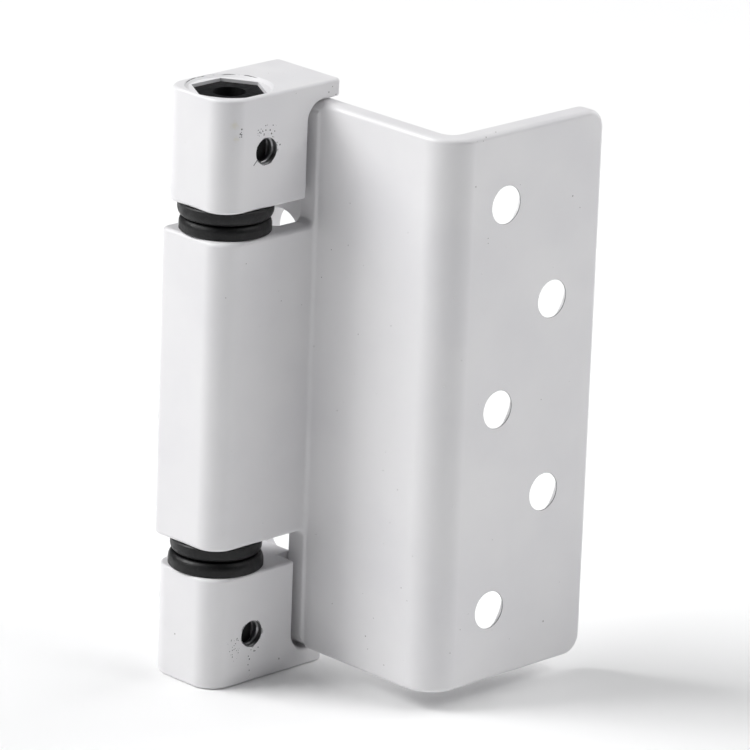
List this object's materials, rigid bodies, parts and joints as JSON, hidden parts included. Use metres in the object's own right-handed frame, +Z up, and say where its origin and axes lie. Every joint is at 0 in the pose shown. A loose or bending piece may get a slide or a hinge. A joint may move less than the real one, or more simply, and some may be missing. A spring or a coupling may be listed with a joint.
{
  "type": "offset door hinge",
  "caption": "Offset door hinge: two extruded leaves on one pin in flanged plastic bushes, with a flat screw flange standing forward of the knuckles.",
  "frame": {"origin": "middle of the frame leaf's two fixing holes, on the face that meets the door frame", "axes": "+X out of the mounting face towards the door frame, +Y to the rear, away from the flange, +Z up along the pin"},
  "size_m": [0.0557, 0.0453, 0.1],
  "materials": {
    "white_coat": "satin powder coat",
    "steel": "ground",
    "black_plastic": "matte"
  },
  "bodies": {
    "frame_side": {"frame_leaf": "white_coat", "hinge_pin": "steel", "upper_frame_bush": "black_plastic", "lower_frame_bush": "black_plastic"},
    "door_side": {"door_leaf": "white_coat", "upper_door_bush": "black_plastic", "lower_door_bush": "black_plastic"}
  },
  "joints": [
    {"name": "door_swing", "type": "hinge", "parent": "frame_side", "child": "door_side", "pos_m": [-0.0177, -0.0012, 0.0037], "axis": [0, 0, -1], "range_deg": [0, 180]}
  ]
}
